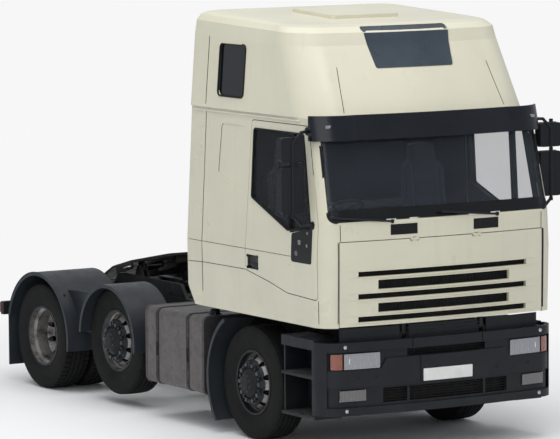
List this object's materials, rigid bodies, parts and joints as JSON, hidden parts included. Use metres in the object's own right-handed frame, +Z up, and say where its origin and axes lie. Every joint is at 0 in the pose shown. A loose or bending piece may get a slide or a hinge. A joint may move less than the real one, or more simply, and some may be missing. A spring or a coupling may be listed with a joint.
{
  "type": "high-roof cab-over semi truck tractor unit",
  "caption": "Cab-over tractor unit with a high-roof sleeper cab, a raised lift axle, twin-tyred drive axle, fuel tank and fifth-wheel coupling.",
  "frame": {"origin": "on the road under the middle of the whole vehicle's box, tyres standing on z = 0", "axes": "+Z up, +Y towards the rear of the vehicle, +X towards the vehicle's own left; the front faces -Y"},
  "size_m": [3, 6.32, 3.8737],
  "materials": {
    "tyre_rubber": "black rubber",
    "wheel_steel": "grey painted steel, dusty",
    "chassis_black": "matt black chassis paint",
    "engine_iron": "rough casting",
    "radiator_alloy": "dark finned core",
    "tank_alloy": "dull brushed aluminium",
    "guard_plastic": "charcoal moulded plastic",
    "lamp_lens": "clear moulded lens",
    "cab_paint": "cream gloss paint",
    "roof_paint": "cream gloss moulding",
    "glazing": "tinted glass",
    "seat_cloth": "dark woven cloth"
  },
  "bodies": {
    "chassis": {"rail_left": "chassis_black", "rail_right": "chassis_black", "crossmembers": "chassis_black", "rear_bar": "chassis_black", "rear_lamps": "lamp_lens", "axle_beams": "chassis_black", "front_springs": "chassis_black", "rear_suspension": "chassis_black", "engine": "engine_iron", "radiator": "radiator_alloy", "prop_shaft": "chassis_black", "fifth_wheel_mount": "chassis_black", "fuel_tank": "tank_alloy", "tank_brackets": "chassis_black", "side_boxes": "chassis_black", "rear_guards": "guard_plastic", "front_guards": "guard_plastic", "deck": "chassis_black", "bumper": "guard_plastic", "front_lamps": "lamp_lens", "steps": "guard_plastic", "cab_mounts": "chassis_black"},
    "cab": {"cab_front": "cab_paint", "cab_side_left": "cab_paint", "cab_side_right": "cab_paint", "cab_rear": "cab_paint", "cab_roof": "roof_paint", "cab_floor": "cab_paint", "cab_glass": "glazing", "sun_visor": "guard_plastic", "wipers": "guard_plastic", "dashboard": "guard_plastic", "seats": "seat_cloth", "bunk": "seat_cloth"},
    "door_left": {"door_left": "cab_paint", "door_glass_left": "glazing", "mirror_left": "guard_plastic"},
    "door_right": {"door_right": "cab_paint", "door_glass_right": "glazing", "mirror_right": "guard_plastic"},
    "grille_hatch": {"grille_hatch": "cab_paint"},
    "roof_hatch": {"roof_hatch": "roof_paint"},
    "fifth_wheel": {"fifth_wheel": "chassis_black"},
    "knuckle_left": {"knuckle_left": "chassis_black"},
    "knuckle_right": {"knuckle_right": "chassis_black"},
    "tie_rod": {"tie_rod": "chassis_black"},
    "steering_wheel": {"steering_wheel": "guard_plastic"},
    "wheel_front_left": {"tyre_front_left": "tyre_rubber", "rim_front_left": "wheel_steel"},
    "wheel_front_right": {"tyre_front_right": "tyre_rubber", "rim_front_right": "wheel_steel"},
    "wheel_mid_left": {"tyre_mid_left": "tyre_rubber", "rim_mid_left": "wheel_steel"},
    "wheel_mid_right": {"tyre_mid_right": "tyre_rubber", "rim_mid_right": "wheel_steel"},
    "wheel_drive_left": {"tyres_drive_left": "tyre_rubber", "rims_drive_left": "wheel_steel"},
    "wheel_drive_right": {"tyres_drive_right": "tyre_rubber", "rims_drive_right": "wheel_steel"}
  },
  "joints": [
    {"name": "steer_left", "type": "hinge", "parent": "chassis", "child": "knuckle_left", "pos_m": [0.845, -1.68, 0.522], "axis": [0, 0, 1], "range_deg": [-40, 40]},
    {"name": "steer_right", "type": "hinge", "parent": "chassis", "child": "knuckle_right", "pos_m": [-0.845, -1.68, 0.522], "axis": [0, 0, 1], "range_deg": [-40, 40]},
    {"name": "track_rod", "type": "hinge", "parent": "knuckle_left", "child": "tie_rod", "pos_m": [0.845, -1.49, 0.4], "axis": [0, 0, 1], "range_deg": [-40, 40]},
    {"name": "spin_front_left", "type": "hinge", "parent": "knuckle_left", "child": "wheel_front_left", "pos_m": [1.012, -1.68, 0.522], "axis": [1, 0, 0], "continuous": true},
    {"name": "spin_front_right", "type": "hinge", "parent": "knuckle_right", "child": "wheel_front_right", "pos_m": [-1.012, -1.68, 0.522], "axis": [1, 0, 0], "continuous": true},
    {"name": "spin_mid_left", "type": "hinge", "parent": "chassis", "child": "wheel_mid_left", "pos_m": [1, 0.875, 0.622], "axis": [1, 0, 0], "continuous": true},
    {"name": "spin_mid_right", "type": "hinge", "parent": "chassis", "child": "wheel_mid_right", "pos_m": [-1, 0.875, 0.622], "axis": [1, 0, 0], "continuous": true},
    {"name": "spin_drive_left", "type": "hinge", "parent": "chassis", "child": "wheel_drive_left", "pos_m": [0.892, 2.28, 0.522], "axis": [1, 0, 0], "continuous": true},
    {"name": "spin_drive_right", "type": "hinge", "parent": "chassis", "child": "wheel_drive_right", "pos_m": [-0.892, 2.28, 0.522], "axis": [1, 0, 0], "continuous": true},
    {"name": "cab_tilt", "type": "hinge", "parent": "chassis", "child": "cab", "pos_m": [0, -3.044, 1.076], "axis": [1, 0, 0], "range_deg": [0, 60]},
    {"name": "door_left_swing", "type": "hinge", "parent": "cab", "child": "door_left", "pos_m": [1.239, -2.939, 2.1], "axis": [0, 0, -1], "range_deg": [0, 72]},
    {"name": "door_right_swing", "type": "hinge", "parent": "cab", "child": "door_right", "pos_m": [-1.239, -2.939, 2.1], "axis": [0, 0, 1], "range_deg": [0, 72]},
    {"name": "grille_lift", "type": "hinge", "parent": "cab", "child": "grille_hatch", "pos_m": [0, -3.124, 1.914], "axis": [-1, 0, 0], "range_deg": [0, 78]},
    {"name": "roof_hatch_lift", "type": "hinge", "parent": "cab", "child": "roof_hatch", "pos_m": [0, -1.83, 3.8058], "axis": [1, 0, 0], "range_deg": [0, 16]},
    {"name": "coupling_tilt", "type": "hinge", "parent": "chassis", "child": "fifth_wheel", "pos_m": [0, 1.77, 1.178], "axis": [1, 0, 0], "range_deg": [0, 28]},
    {"name": "steering_turn", "type": "hinge", "parent": "cab", "child": "steering_wheel", "pos_m": [-0.72, -2.48, 2.11], "axis": [0, 0.5736, 0.8192], "range_deg": [-720, 720]}
  ],
  "couplings": [
    {"joint": "steer_right", "follows": "steer_left", "ratio": 1},
    {"joint": "track_rod", "follows": "steer_left", "ratio": -1},
    {"joint": "steering_turn", "follows": "steer_left", "ratio": 18}
  ]
}
